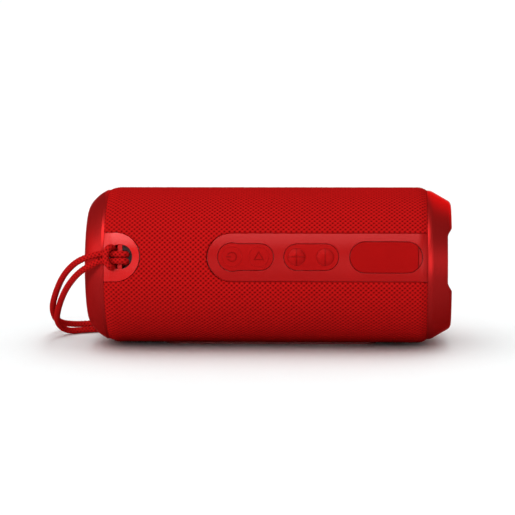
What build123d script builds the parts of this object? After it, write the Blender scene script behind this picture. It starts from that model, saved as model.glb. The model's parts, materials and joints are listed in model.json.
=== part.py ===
from build123d import *

import os
from math import cos, pi, radians, sin, tan

# A portable round speaker that lies on its side. The cylinder's centre line runs along X, with the
# lanyard end at -X and the notched base at +X. -Y is the side with the control panel, and +Z is up.
# The origin is on the floor, under the middle of the body. Millimetres and degrees throughout.

# Driving dimensions
sleeve_radius = 40.0
sleeve_wall = 2.4
foot_thickness = 0.6
panel_tilt = 15.0
left_seam = 82.6
right_seam = 80.7
end_reach = 93.2
left_lip_radius = 38.6
right_lip_radius = 38.4
shell_gap = 0.1
shell_wall = 2.5
outline_gap = 0.3
key_gap = 0.06

# Control panel, keys and port cover: distances along the centre line
panel_left = -30.35
panel_half_width = 12.4
power_key_x = -17.6
play_key_x = -4.05
volume_up_x = 14.9
volume_down_x = 29.35
power_pad_left = -24.7
power_pad_right = 3.45
power_bulge_radius = 7.4
volume_pad_left = 8.3
volume_pad_right = 36.3
pad_width = 13.8
flat_key_radius = 5.0
dome_key_radius = 4.4
dome_edge = 39.75
dome_top = 41.2
key_travel = 0.6
key_base = 38.2
stem_radius = 1.4
stem_end = 34.9
cover_left = 41.5
cover_recess_right = 78.4
cover_cut = 76.0
cover_width = 16.1
cover_thickness = 1.4

# Port bay
bay_left = 43.4
bay_right = 75.2
bay_width = 10.8
bay_wall = 1.2
bay_floor = 29.4
usb_x = 49.9
jack_x = 59.4
card_x = 68.8
jack_bore_radius = 1.75

# Lanyard plate, its hole and the cord
plate_round_x = -76.85
plate_half_width = 12.65
hole_x = -74.35
hole_radius = 6.3
bar_width = 2.3
bar_top = 39.0
bar_bottom = 37.0
cord_diameter = 3.3

# Drivers face away from the panel, and the passive radiators close both ends
driver_x = 42.0
seat_depth = 27.0
seat_wall = 1.5
seat_radius = 22.9
radiator_opening = 24.5
radiator_plate_radius = 19.5
radiator_frame_depth = 3.4

os.makedirs("parts", exist_ok=True)

# Frames: the panel's own directions are X, panel_up and panel_out
axis_height = sleeve_radius + foot_thickness
shell_radius = sleeve_radius - sleeve_wall - shell_gap
shell_bore = shell_radius - shell_wall
skin_bore = sleeve_radius - sleeve_wall
centre = Vector(0, 0, axis_height)
centre_line = Axis(centre, (1, 0, 0))
panel_out = Vector(0, -cos(radians(panel_tilt)), sin(radians(panel_tilt)))
panel_up = Vector(0, sin(radians(panel_tilt)), cos(radians(panel_tilt)))
front = Plane(origin=centre, x_dir=(1, 0, 0), z_dir=panel_out)
rear = Plane(origin=centre, x_dir=(1, 0, 0), z_dir=-panel_out)
profile = Plane(origin=centre, x_dir=(1, 0, 0), z_dir=(0, -1, 0))
across = Plane(origin=centre, x_dir=(1, 0, 0), z_dir=-panel_up)


def end_profile(side):
    """The plane of a turned profile at one end: x is the distance outward, y the radius."""
    return Plane(origin=centre, x_dir=(side, 0, 0), z_dir=(0, -side, 0))


def end_plane(side, reach):
    """A plane square to the centre line, at a distance outward from the middle."""
    return Plane(origin=centre + Vector(side * reach, 0, 0), x_dir=panel_out, z_dir=(side, 0, 0))


def driver_profile(x):
    """The plane of a driver's turned profile: x is the radius, y the depth towards the rear."""
    return Plane(origin=centre + Vector(x, 0, 0), x_dir=(1, 0, 0), z_dir=panel_up)


def driver_axis(x):
    """The line that a driver's cone moves along."""
    return Axis(centre + Vector(x, 0, 0), -panel_out)


# ---- Shapes that several pieces share ----

# The outside of the sleeve, panel and lanyard plate: a cylinder whose two ends round down
with BuildPart() as envelope:
    with BuildSketch(profile):
        with BuildLine():
            left_foot = Line((-left_seam, 0), (-left_seam, left_lip_radius))
            left_round = TangentArc((-77.0, sleeve_radius), left_foot @ 1, tangent=(-1, 0))
            right_round = TangentArc((76.2, sleeve_radius), (right_seam, left_lip_radius), tangent=(1, 0))
            Line(left_round @ 0, right_round @ 0)
            right_foot = Line(right_round @ 1, (right_seam, 0))
            Line(right_foot @ 1, left_foot @ 0)
        make_face()
    revolve(axis=centre_line)

with BuildPart() as skin:
    add(envelope.part)
    with BuildSketch(Plane(origin=centre - Vector(100, 0, 0), z_dir=(1, 0, 0))):
        Circle(skin_bore)
    extrude(amount=200, mode=Mode.SUBTRACT)

with BuildSketch() as panel_shape:
    with Locations((panel_left + panel_half_width, 0)):
        Circle(panel_half_width)
    with Locations(((panel_left + panel_half_width + right_seam + 1) / 2, 0)):
        Rectangle(right_seam + 1 - panel_left - panel_half_width, 2 * panel_half_width)

with BuildSketch() as power_pad_shape:
    with Locations(((power_pad_left + power_pad_right) / 2, 0)):
        SlotOverall(power_pad_right - power_pad_left, pad_width)
    with Locations((power_key_x, 0)):
        Circle(power_bulge_radius)

with BuildSketch() as volume_pad_shape:
    with Locations(((volume_pad_left + volume_pad_right) / 2, 0)):
        SlotOverall(volume_pad_right - volume_pad_left, pad_width)

with BuildSketch() as cover_recess_shape:
    with Locations(((cover_left + cover_recess_right) / 2, 0)):
        SlotOverall(cover_recess_right - cover_left, cover_width)

with BuildSketch() as bay_opening_shape:
    with Locations(((bay_left + bay_right) / 2, 0)):
        RectangleRounded(bay_right - bay_left, bay_width, 4.0)

with BuildSketch() as plate_shape:
    with Locations((plate_round_x, 0)):
        Circle(plate_half_width)
    with Locations(((plate_round_x - left_seam - 1) / 2, 0)):
        Rectangle(plate_round_x + left_seam + 1, 2 * plate_half_width)

# ---- Housing: two half shells inside the sleeve, with an inner flange at each end ----

flange_bore = 28.5
flange_depth = 2.5
gasket_depth = 0.5
screw_circle = 30.6
cup_radius = 7.3
key_post_x = (-23.5, 35.5)
key_board_top = 30.2
stem_hole_low = 30.5
rail_offset = 33.9
rail_length = 120.0
seat_opening = 18.0
bay_wall_gap = bay_wall + shell_gap

with BuildPart() as shell_tube:
    with BuildSketch(profile):
        with BuildLine():
            Polyline(
                (-left_seam + shell_gap, shell_radius),
                (right_seam - shell_gap, shell_radius),
                (right_seam - shell_gap, shell_bore),
                (right_seam - gasket_depth, shell_bore),
                (right_seam - gasket_depth, flange_bore),
                (right_seam - gasket_depth - flange_depth, flange_bore),
                (right_seam - gasket_depth - flange_depth, shell_bore),
                (-left_seam + gasket_depth + flange_depth, shell_bore),
                (-left_seam + gasket_depth + flange_depth, flange_bore),
                (-left_seam + gasket_depth, flange_bore),
                (-left_seam + gasket_depth, shell_bore),
                (-left_seam + shell_gap, shell_bore),
                close=True,
            )
        make_face()
    revolve(axis=centre_line)
    for side, seam in ((-1, left_seam), (1, right_seam)):
        with BuildSketch(end_plane(side, seam - 5)):
            with PolarLocations(screw_circle, 4, start_angle=45):
                Circle(1.05)
        extrude(amount=10, mode=Mode.SUBTRACT)

with BuildPart() as front_shell:
    add(shell_tube.part)
    with BuildSketch(front.offset(0.03)):
        Rectangle(220, 100)
    extrude(amount=50, mode=Mode.INTERSECT)
    # Posts that carry the key board
    with BuildSketch(front.offset(key_board_top)):
        with Locations(*[(x, 0) for x in key_post_x]):
            Circle(2.0)
    extrude(amount=6)
    # Holes for the key stems, the port bay and the lanyard cup
    with BuildSketch(front.offset(stem_hole_low)):
        with Locations((power_key_x, 0), (play_key_x, 0), (volume_up_x, 0), (volume_down_x, 0)):
            Circle(2.0)
    extrude(amount=10, mode=Mode.SUBTRACT)
    with BuildSketch(front.offset(20)):
        with Locations(((bay_left + bay_right) / 2, 0)):
            RectangleRounded(bay_right - bay_left + 2 * bay_wall_gap, bay_width + 2 * bay_wall_gap, 5.2)
        with Locations((hole_x, 0)):
            Circle(cup_radius + shell_gap)
    extrude(amount=20, mode=Mode.SUBTRACT)
front_shell.part.label = "front_shell"
export_step(front_shell.part, "parts/front_shell.step")

seat_screw_circle = 20.3

with BuildPart() as rear_shell:
    add(shell_tube.part)
    # A round cup with a flat seat behind each driver
    with BuildSketch(rear.offset(seat_depth - seat_wall)):
        with Locations((-driver_x, 0), (driver_x, 0)):
            Circle(seat_radius + 1.5)
    extrude(amount=15)
    with BuildSketch(Plane(origin=centre - Vector(100, 0, 0), z_dir=(1, 0, 0))):
        Circle(shell_radius)
    extrude(amount=200, mode=Mode.INTERSECT)
    with BuildSketch(rear.offset(seat_depth)):
        with Locations((-driver_x, 0), (driver_x, 0)):
            Circle(seat_radius)
    extrude(amount=20, mode=Mode.SUBTRACT)
    with BuildSketch(rear.offset(seat_depth - 5)):
        with Locations((-driver_x, 0), (driver_x, 0)):
            Circle(seat_opening)
            with PolarLocations(seat_screw_circle, 4, start_angle=45):
                Circle(1.0)
    extrude(amount=10, mode=Mode.SUBTRACT)
    # Rails that carry the chassis plate
    with BuildSketch(rear.offset(1.05)):
        with Locations((0, rail_offset), (0, -rail_offset)):
            Rectangle(rail_length, 2.6)
    extrude(amount=2.2)
    with BuildSketch(rear.offset(0.03)):
        Rectangle(220, 100)
    extrude(amount=50, mode=Mode.INTERSECT)
rear_shell.part.label = "rear_shell"
export_step(rear_shell.part, "parts/rear_shell.step")

# ---- Fabric sleeve, control panel, pads and keys ----

with BuildPart() as fabric_sleeve:
    add(skin.part)
    with BuildSketch(front.offset(20)):
        add(panel_shape.sketch)
        add(plate_shape.sketch)
    extrude(amount=30, mode=Mode.SUBTRACT)
fabric_sleeve.part.label = "fabric_sleeve"
export_step(fabric_sleeve.part, "parts/fabric_sleeve.step")

with BuildPart() as control_panel:
    add(skin.part)
    with BuildSketch(front.offset(20)):
        add(panel_shape.sketch)
        offset(amount=-outline_gap)
    extrude(amount=30, mode=Mode.INTERSECT)
    with BuildSketch(front.offset(20)):
        add(power_pad_shape.sketch)
        add(volume_pad_shape.sketch)
        add(cover_recess_shape.sketch)
    extrude(amount=30, mode=Mode.SUBTRACT)
control_panel.part.label = "control_panel"
export_step(control_panel.part, "parts/control_panel.step")

pads = (
    ("power_pad", power_pad_shape, flat_key_radius, (power_key_x, play_key_x)),
    ("volume_pad", volume_pad_shape, dome_key_radius, (volume_up_x, volume_down_x)),
)
for pad_name, pad_shape, key_radius, key_places in pads:
    with BuildPart() as pad:
        add(skin.part)
        with BuildSketch(front.offset(20)):
            add(pad_shape.sketch)
            offset(amount=-outline_gap)
        extrude(amount=30, mode=Mode.INTERSECT)
        with BuildSketch(front.offset(20)):
            with Locations(*[(x, 0) for x in key_places]):
                Circle(key_radius + key_gap)
        extrude(amount=30, mode=Mode.SUBTRACT)
    pad.part.label = pad_name
    export_step(pad.part, f"parts/{pad_name}.step")

# The marks are read with the speaker standing on its base, so their upper side faces the lanyard
mark_floor = 39.65
mark_line = 0.45

with BuildSketch() as power_mark:
    Circle(2.5)
    Circle(2.5 - mark_line, mode=Mode.SUBTRACT)
    with Locations((-2.2, 0)):
        Rectangle(2.0, 1.9, mode=Mode.SUBTRACT)
    with Locations((-1.8, 0)):
        Rectangle(2.4, mark_line)

with BuildSketch() as play_mark:
    RegularPolygon(3.0, 3, rotation=90)
    with BuildSketch(mode=Mode.PRIVATE) as play_mark_core:
        RegularPolygon(3.0 - 2 * mark_line, 3, rotation=90)
    add(play_mark_core.sketch, mode=Mode.SUBTRACT)

flat_keys = (("power_key", power_key_x, power_mark), ("play_key", play_key_x, play_mark))
for key_name, key_x, key_mark in flat_keys:
    with BuildPart() as flat_key:
        with BuildSketch(front.offset(key_base)):
            with Locations((key_x, 0)):
                Circle(flat_key_radius)
        extrude(amount=5)
        add(envelope.part, mode=Mode.INTERSECT)
        with BuildSketch(front.offset(mark_floor)):
            with Locations((key_x, 0)):
                add(key_mark.sketch)
        extrude(amount=3, mode=Mode.SUBTRACT)
        with BuildSketch(front.offset(stem_end)):
            with Locations((key_x, 0)):
                Circle(stem_radius)
        extrude(amount=key_base + 0.5 - stem_end)
    flat_key.part.label = key_name
    export_step(flat_key.part, f"parts/{key_name}.step")

dome_mark_line = 0.4
dome_mark_depth = 0.3
dome_keys = (("volume_up_key", volume_up_x, True), ("volume_down_key", volume_down_x, False))
for key_name, key_x, has_cross in dome_keys:
    key_profile = Plane(origin=centre + Vector(key_x, 0, 0), x_dir=(1, 0, 0), z_dir=-panel_up)
    key_axis = Axis(centre + Vector(key_x, 0, 0), panel_out)

    # The mark runs over the dome from edge to edge, equally deep all the way
    with BuildPart() as mark_cutter:
        with BuildSketch(front.offset(dome_edge - dome_mark_depth)):
            with Locations((key_x, 0)):
                Rectangle(dome_mark_line, 2 * dome_key_radius + 1)
                if has_cross:
                    Rectangle(2 * dome_key_radius + 1, dome_mark_line)
        extrude(amount=3)
        with BuildSketch(key_profile):
            with BuildLine():
                core = Polyline(
                    (0, dome_top - dome_mark_depth),
                    (0, key_base),
                    (dome_key_radius, key_base),
                    (dome_key_radius, dome_edge - dome_mark_depth),
                )
                TangentArc(core @ 0, core @ 1, tangent=(1, 0))
            make_face()
        revolve(axis=key_axis, mode=Mode.SUBTRACT)

    with BuildPart() as dome_key:
        with BuildSketch(key_profile):
            with BuildLine():
                stem = Polyline(
                    (0, dome_top),
                    (0, stem_end),
                    (stem_radius, stem_end),
                    (stem_radius, key_base),
                    (dome_key_radius, key_base),
                    (dome_key_radius, dome_edge),
                )
                TangentArc(stem @ 0, stem @ 1, tangent=(1, 0))
            make_face()
        revolve(axis=key_axis)
        add(mark_cutter.part, mode=Mode.SUBTRACT)
    dome_key.part.label = key_name
    export_step(dome_key.part, f"parts/{key_name}.step")

# ---- Port cover and the bay behind it ----

cover_inner_radius = sleeve_radius - cover_thickness
lip_depth = 1.9

with BuildPart() as port_cover:
    add(skin.part)
    with BuildSketch(profile):
        with Locations((0, cover_inner_radius / 2)):
            Rectangle(200, cover_inner_radius)
    revolve(axis=centre_line, mode=Mode.SUBTRACT)
    # The sealing lip under the flap
    with BuildSketch(front.offset(cover_inner_radius - lip_depth)):
        add(bay_opening_shape.sketch)
        offset(amount=-0.3)
        with BuildSketch(mode=Mode.PRIVATE) as lip_core:
            add(bay_opening_shape.sketch)
            offset(amount=-1.4)
        add(lip_core.sketch, mode=Mode.SUBTRACT)
    extrude(amount=lip_depth + 0.4)
    with BuildSketch(front.offset(20)):
        add(cover_recess_shape.sketch)
        offset(amount=-outline_gap)
        with Locations((cover_cut + 10, 0)):
            Rectangle(20, 30, mode=Mode.SUBTRACT)
    extrude(amount=30, mode=Mode.INTERSECT)
port_cover.part.label = "port_cover"
export_step(port_cover.part, "parts/port_cover.step")

bay_rim_radius = 38.35
finger_notch_left = cover_cut + 0.2
finger_notch_radius = 39.3

# Beyond the flap's end the rim rises, which leaves a shallow notch for a fingertip
with BuildPart() as finger_notch:
    add(skin.part)
    with BuildSketch(profile):
        with Locations((0, finger_notch_radius / 2)):
            Rectangle(200, finger_notch_radius)
    revolve(axis=centre_line, mode=Mode.INTERSECT)
    with BuildSketch(front.offset(20)):
        add(cover_recess_shape.sketch)
        offset(amount=-outline_gap)
        with Locations((finger_notch_left - 50, 0)):
            Rectangle(100, 30, mode=Mode.SUBTRACT)
    extrude(amount=30, mode=Mode.INTERSECT)

with BuildPart() as port_bay:
    # The rim lies under the flap, on the shell
    with BuildSketch(front.offset(30)):
        add(cover_recess_shape.sketch)
        offset(amount=-outline_gap)
    extrude(amount=15)
    with BuildSketch(profile):
        with Locations((0, bay_rim_radius / 2)):
            Rectangle(200, bay_rim_radius)
    revolve(axis=centre_line, mode=Mode.INTERSECT)
    with BuildSketch(profile):
        with Locations((0, skin_bore / 2)):
            Rectangle(200, skin_bore)
    revolve(axis=centre_line, mode=Mode.SUBTRACT)
    add(finger_notch.part)
    # The tray goes down through the shell
    with BuildSketch(front.offset(bay_floor - bay_wall)):
        add(bay_opening_shape.sketch)
        offset(amount=bay_wall)
    extrude(amount=skin_bore - bay_floor + bay_wall + 0.3)
    with BuildSketch(front.offset(bay_floor)):
        add(bay_opening_shape.sketch)
    extrude(amount=15, mode=Mode.SUBTRACT)
    with BuildSketch(front.offset(bay_floor - 5)):
        with Locations((usb_x, 0)):
            SlotOverall(9.3, 3.6)
        with Locations((jack_x, 0)):
            Circle(3.1)
        with Locations((card_x, 0)):
            Rectangle(11.9, 1.9)
    extrude(amount=10, mode=Mode.SUBTRACT)
port_bay.part.label = "port_bay"
export_step(port_bay.part, "parts/port_bay.step")

port_board_top = 22.0

with BuildPart() as usb_socket:
    with BuildSketch(front.offset(port_board_top)):
        with Locations((usb_x, 0)):
            SlotOverall(9.0, 3.3)
    extrude(amount=bay_floor - port_board_top)
    with BuildSketch(front.offset(port_board_top + 1)):
        with Locations((usb_x, 0)):
            SlotOverall(8.4, 2.7)
    extrude(amount=10, mode=Mode.SUBTRACT)
    with BuildSketch(front.offset(port_board_top)):
        with Locations((usb_x, 0)):
            Rectangle(6.7, 0.7)
    extrude(amount=6.2)
usb_socket.part.label = "usb_socket"
export_step(usb_socket.part, "parts/usb_socket.step")

with BuildPart() as aux_jack:
    with BuildSketch(front.offset(port_board_top)):
        with Locations((jack_x, 0)):
            Rectangle(6.2, 6.2)
    extrude(amount=bay_floor - bay_wall - 0.2 - port_board_top)
    with BuildSketch(front.offset(port_board_top)):
        with Locations((jack_x, 0)):
            Circle(2.95)
    extrude(amount=bay_floor - port_board_top)
    with BuildSketch(front.offset(port_board_top + 0.6)):
        with Locations((jack_x, 0)):
            Circle(jack_bore_radius)
    extrude(amount=10, mode=Mode.SUBTRACT)
aux_jack.part.label = "aux_jack"
export_step(aux_jack.part, "parts/aux_jack.step")

with BuildPart() as card_slot:
    with BuildSketch(front.offset(port_board_top)):
        with Locations((card_x, 0)):
            Rectangle(11.7, 1.7)
    extrude(amount=bay_floor - port_board_top)
    with BuildSketch(front.offset(port_board_top + 1)):
        with Locations((card_x, 0)):
            Rectangle(11.1, 1.0)
    extrude(amount=10, mode=Mode.SUBTRACT)
card_slot.part.label = "card_slot"
export_step(card_slot.part, "parts/card_slot.step")

with BuildPart() as port_board:
    with BuildSketch(front.offset(port_board_top - 1.6)):
        with Locations(((bay_left + bay_right) / 2, 0)):
            RectangleRounded(bay_right - bay_left + 1, 16, 1.5)
    extrude(amount=1.6)
port_board.part.label = "port_board"
export_step(port_board.part, "parts/port_board.step")

# ---- Lanyard plate, cup, hitch and cord ----

with BuildPart() as lanyard_plate:
    add(skin.part)
    with BuildSketch(front.offset(20)):
        add(plate_shape.sketch)
        offset(amount=-outline_gap)
    extrude(amount=30, mode=Mode.INTERSECT)
    with BuildSketch(front.offset(20)):
        with Locations((hole_x, 0)):
            Circle(hole_radius)
    extrude(amount=30, mode=Mode.SUBTRACT)
    with BuildSketch(front.offset(bar_bottom)):
        with Locations((hole_x, 0)):
            Rectangle(bar_width, 2 * hole_radius + 0.8)
    extrude(amount=bar_top - bar_bottom)
lanyard_plate.part.label = "lanyard_plate"
export_step(lanyard_plate.part, "parts/lanyard_plate.step")

cup_low = 31.5
cup_floor = 1.0
cup_wall = 0.8

with BuildPart() as lanyard_cup:
    with BuildSketch(front.offset(cup_low)):
        with Locations((hole_x, 0)):
            Circle(cup_radius)
    extrude(amount=4.5)
    with BuildSketch(front.offset(cup_low + cup_floor)):
        with Locations((hole_x, 0)):
            Circle(cup_radius - cup_wall)
    extrude(amount=10, mode=Mode.SUBTRACT)
lanyard_cup.part.label = "lanyard_cup"
export_step(lanyard_cup.part, "parts/lanyard_cup.step")

# The hitch: both strands wrapped round the bar, and the bight that they leave through
hitch_middle = -0.5
wrap_half_width = cord_diameter + 0.05
wrap_reach = cord_diameter + bar_width / 2 + 0.15
wrap_low = bar_bottom - cord_diameter - 0.15
wrap_high = bar_top + cord_diameter + 0.15
strand_out = 41.9
bight_left = -84.2
bight_right = -78.4

with BuildPart() as lanyard_hitch:
    with BuildSketch(across.offset(-hitch_middle - wrap_half_width)):
        with Locations((hole_x, (wrap_low + wrap_high) / 2)):
            RectangleRounded(2 * wrap_reach, wrap_high - wrap_low, 3.0)
            RectangleRounded(bar_width + 0.3, bar_top - bar_bottom + 0.3, 0.5, mode=Mode.SUBTRACT)
    extrude(amount=2 * wrap_half_width)
    with BuildSketch(front.offset(strand_out - 1.75)):
        with Locations(((bight_left + bight_right) / 2, hitch_middle)):
            RectangleRounded(bight_right - bight_left, 11.0, 1.8)
    extrude(amount=3.5)
lanyard_hitch.part.label = "lanyard_hitch"
export_step(lanyard_hitch.part, "parts/lanyard_hitch.step")

# The cord's route: from the hitch down past the end, along the floor behind the body, round the
# loop's end and back. It is listed by hand, and the two ends meet the hitch's flat side.
floor_height = cord_diameter / 2 + 0.05
cord_route = [
    (-84.2, -40.1, 52.6),
    (-93.4, -38.6, 50.6),
    (-103.6, -28.6, 41.2),
    (-110.6, -12.0, 27.6),
    (-115.2, 7.4, 15.2),
    (-114.4, 23.4, 5.4),
    (-106.6, 35.8, floor_height),
    (-92.0, 41.6, floor_height),
    (-73.0, 47.0, floor_height),
    (-58.4, 47.8, floor_height),
    (-49.2, 41.4, floor_height),
    (-48.0, 30.8, floor_height),
    (-55.8, 22.6, floor_height),
    (-69.0, 21.4, floor_height),
    (-85.6, 24.6, floor_height),
    (-99.4, 21.6, floor_height),
    (-108.6, 16.4, floor_height),
    (-113.0, 6.6, 8.6),
    (-109.2, -9.8, 20.8),
    (-102.6, -27.0, 34.0),
    (-93.0, -39.2, 45.2),
    (-84.2, -41.0, 49.3),
]

runs = [(Vector(*b) - Vector(*a)).length for a, b in zip(cord_route, cord_route[1:])]
radii = []
for index in range(1, len(cord_route) - 1):
    before = Vector(*cord_route[index]) - Vector(*cord_route[index - 1])
    after = Vector(*cord_route[index + 1]) - Vector(*cord_route[index])
    half_turn = radians(before.get_angle(after)) / 2
    radii.append(0.45 * min(before.length, after.length) / tan(half_turn))

with BuildPart() as lanyard_cord:
    with BuildLine() as cord_path:
        FilletPolyline(*cord_route, radius=radii)
    with BuildSketch(Plane(origin=cord_path.line @ 0, z_dir=cord_path.line % 0)):
        Circle(cord_diameter / 2)
    sweep(path=cord_path.line)
lanyard_cord.part.label = "lanyard_cord"
export_step(lanyard_cord.part, "parts/lanyard_cord.step")
cord_length = sum(edge.length for edge in cord_path.line.edges())
section_volume = pi * (cord_diameter / 2) ** 2 * cord_length
print("cord runs", [round(run, 1) for run in runs])
print("cord radii", [round(radius, 1) for radius in radii])
print("cord length", round(cord_length, 1))
print("cord volume", round(lanyard_cord.part.volume), "section times length", round(section_volume))

# ---- End caps ----

aperture_radius = 27.0
skirt_wall = 1.6
skirt_gap = 0.2
skirt_root_radius = 31.4
lip_inner_radius = 35.6
face_inner_radius = 28.6
rim_middle = (92.73, 27.47)
rim_end = (91.6, aperture_radius)

with BuildPart() as top_cap:
    with BuildSketch(end_profile(-1)):
        with BuildLine():
            start = left_seam + shell_gap
            skirt_end = left_seam + radiator_frame_depth + skirt_gap
            lip = Line((start, left_lip_radius), (84.1, left_lip_radius))
            dome = ThreePointArc(lip @ 1, (88.4, 35.85), (91.6, 32.6))
            shoulder = TangentArc(dome @ 1, (end_reach, 29.6), tangent=dome % 1)
            face = Line(shoulder @ 1, (end_reach, face_inner_radius))
            rim = ThreePointArc(face @ 1, rim_middle, rim_end)
            Polyline(
                rim @ 1,
                (skirt_end, aperture_radius),
                (skirt_end, aperture_radius + skirt_wall),
                (89.6, aperture_radius + skirt_wall),
                (89.6, skirt_root_radius),
                (84.6, lip_inner_radius),
                (start, lip_inner_radius),
                lip @ 0,
            )
        make_face()
    revolve(axis=centre_line)
top_cap.part.label = "top_cap"
export_step(top_cap.part, "parts/top_cap.step")

base_lip_rounding = 5.0
notch_floor = 91.1
notch_floor_half = 12.4
notch_top_half = 15.8
notch_rounding = 3.0
notch_tilt = 9.6
notch_rise = 2.6
notch_out = Vector(0, -cos(radians(notch_tilt)), sin(radians(notch_tilt)))
notch_up = Vector(0, sin(radians(notch_tilt)), cos(radians(notch_tilt)))
notch_plane = Plane(origin=centre + notch_up * notch_rise, x_dir=(1, 0, 0), z_dir=notch_out)

with BuildPart() as base_cap:
    with BuildSketch(end_profile(1)):
        with BuildLine():
            start = right_seam + shell_gap
            skirt_end = right_seam + radiator_frame_depth + skirt_gap
            slope = FilletPolyline(
                (start, right_lip_radius),
                (82.7, right_lip_radius),
                (91.7, 33.2),
                radius=base_lip_rounding,
            )
            shoulder = TangentArc(slope @ 1, (end_reach, 30.9), tangent=slope % 1)
            face = Line(shoulder @ 1, (end_reach, face_inner_radius))
            rim = ThreePointArc(face @ 1, rim_middle, rim_end)
            Polyline(
                rim @ 1,
                (skirt_end, aperture_radius),
                (skirt_end, aperture_radius + skirt_wall),
                (88.6, aperture_radius + skirt_wall),
                (88.6, skirt_root_radius),
                (84.0, 35.0),
                (start, lip_inner_radius),
                slope @ 0,
            )
        make_face()
    revolve(axis=centre_line)
    # A shallow notch across the rim, behind the panel's end, and its twin at the rear
    with BuildSketch(notch_plane.offset(-60)):
        with BuildLine():
            edge = FilletPolyline(
                (94.2, -24),
                (93.15, -notch_top_half),
                (notch_floor, -notch_floor_half),
                (notch_floor, notch_floor_half),
                (93.15, notch_top_half),
                (94.2, 24),
                radius=notch_rounding,
            )
            Polyline(edge @ 1, (97, 24), (97, -24), edge @ 0)
        make_face()
    extrude(amount=120, mode=Mode.SUBTRACT)
base_cap.part.label = "base_cap"
export_step(base_cap.part, "parts/base_cap.step")

# ---- Passive radiators, one at each end ----

radiator_frame_radius = 33.8
roll_wall = 0.7
roll_height = 2.3

for end_name, side, seam in (("left", -1, left_seam), ("right", 1, right_seam)):
    face = seam + radiator_frame_depth

    with BuildPart() as radiator_gasket:
        with BuildSketch(end_plane(side, seam - gasket_depth)):
            Circle(33.6)
            Circle(flange_bore, mode=Mode.SUBTRACT)
            with PolarLocations(screw_circle, 4, start_angle=45):
                Circle(1.2, mode=Mode.SUBTRACT)
        extrude(amount=gasket_depth)
    radiator_gasket.part.label = f"{end_name}_radiator_gasket"
    export_step(radiator_gasket.part, f"parts/{end_name}_radiator_gasket.step")

    with BuildPart() as radiator_frame:
        with BuildSketch(end_plane(side, seam)):
            Circle(radiator_frame_radius)
            Circle(radiator_opening, mode=Mode.SUBTRACT)
            with PolarLocations(screw_circle, 4, start_angle=45):
                Circle(1.2, mode=Mode.SUBTRACT)
        extrude(amount=radiator_frame_depth)
    radiator_frame.part.label = f"{end_name}_radiator_frame"
    export_step(radiator_frame.part, f"parts/{end_name}_radiator_frame.step")

    with BuildPart() as radiator_surround:
        with BuildSketch(end_profile(side)):
            with BuildLine():
                inner = radiator_plate_radius + 0.2
                middle = (inner + radiator_opening) / 2
                outside = ThreePointArc((face, inner), (face + roll_height, middle), (face, radiator_opening))
                inside = ThreePointArc(
                    (face, inner + roll_wall),
                    (face + roll_height - roll_wall, middle),
                    (face, radiator_opening - roll_wall),
                )
                Line(outside @ 0, inside @ 0)
                Line(outside @ 1, inside @ 1)
            make_face()
            with Locations((face + 0.35, radiator_opening + 0.95)):
                Rectangle(0.7, 2.3)
        revolve(axis=centre_line)
    radiator_surround.part.label = f"{end_name}_radiator_surround"
    export_step(radiator_surround.part, f"parts/{end_name}_radiator_surround.step")

    # The plate has a shallow dish outside and a weight inside
    with BuildPart() as radiator_plate:
        with BuildSketch(end_profile(side)):
            with BuildLine():
                edge = Line((face, radiator_plate_radius), (face + 1.2, radiator_plate_radius))
                rise = Line(edge @ 1, (face + 1.2, 17.5))
                dish = TangentArc((face + 0.4, 0), rise @ 1, tangent=(0, 1))
                Polyline(dish @ 0, (face - 3.4, 0), (face - 3.4, 8.0), (face, 8.0), edge @ 0)
            make_face()
        revolve(axis=centre_line)
    radiator_plate.part.label = f"{end_name}_radiator_plate"
    export_step(radiator_plate.part, f"parts/{end_name}_radiator_plate.step")

with BuildPart() as radiator_screws:
    for side, seam in ((-1, left_seam), (1, right_seam)):
        with BuildSketch(end_plane(side, seam - 4.5)):
            with PolarLocations(screw_circle, 4, start_angle=45):
                Circle(1.0)
        extrude(amount=4.5 + radiator_frame_depth + 0.1)
        with BuildSketch(end_plane(side, seam + radiator_frame_depth)):
            with PolarLocations(screw_circle, 4, start_angle=45):
                Circle(1.6)
        extrude(amount=1.2)
        with BuildSketch(end_plane(side, seam + radiator_frame_depth + 0.5)):
            with PolarLocations(screw_circle, 4, start_angle=45):
                Rectangle(1.9, 0.45)
                Rectangle(0.45, 1.9)
        extrude(amount=1, mode=Mode.SUBTRACT)
radiator_screws.part.label = "radiator_screws"
export_step(radiator_screws.part, "parts/radiator_screws.step")

# ---- Drivers, two in a row at the rear ----

flange_radius = 22.5
flange_low = seat_depth + 0.5
flange_high = flange_low + 1.5
cone_radius = 13.3

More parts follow.
